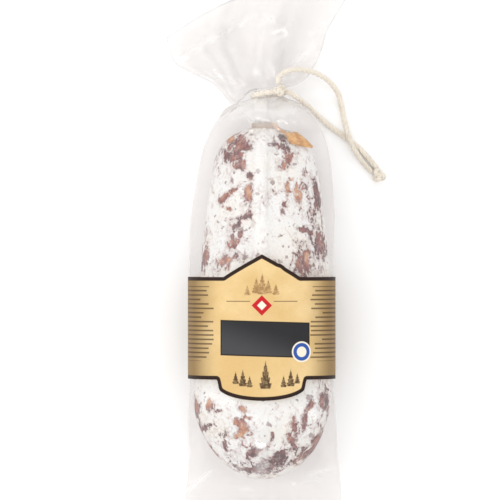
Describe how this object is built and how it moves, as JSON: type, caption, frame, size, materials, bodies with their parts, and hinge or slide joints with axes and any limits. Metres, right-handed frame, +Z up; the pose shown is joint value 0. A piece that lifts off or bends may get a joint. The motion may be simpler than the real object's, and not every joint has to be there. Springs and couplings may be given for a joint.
{
  "type": "cured sausage in a tied film bag",
  "caption": "Dry-cured sausage lying in a clear film bag tied at the neck with a twine hanging loop, with a kraft paper band wrapped round it.",
  "frame": {"origin": "on the surface the pack rests on, under the middle of the bag", "axes": "+Z up, +Y from the welded foot of the bag towards its tied neck, +X towards the side the twine loop lies on"},
  "size_m": [0.0991, 0.2438, 0.0544],
  "materials": {
    "bloomed_casing": "matt dry skin with a white powdery bloom over red-brown meat",
    "tie_string": "thin tan string",
    "clear_film": "thin clear glossy film",
    "kraft_paper": "smooth yellow-brown printed paper",
    "cotton_twine": "twisted cream cotton"
  },
  "bodies": {
    "root": {"sausage": "bloomed_casing", "casing_tie": "tie_string", "film_bag": "clear_film", "paper_label": "kraft_paper", "neck_tie": "cotton_twine", "loop_strand_upper": "cotton_twine", "loop_strand_lower": "cotton_twine", "loop_end_knot": "cotton_twine"}
  },
  "joints": []
}
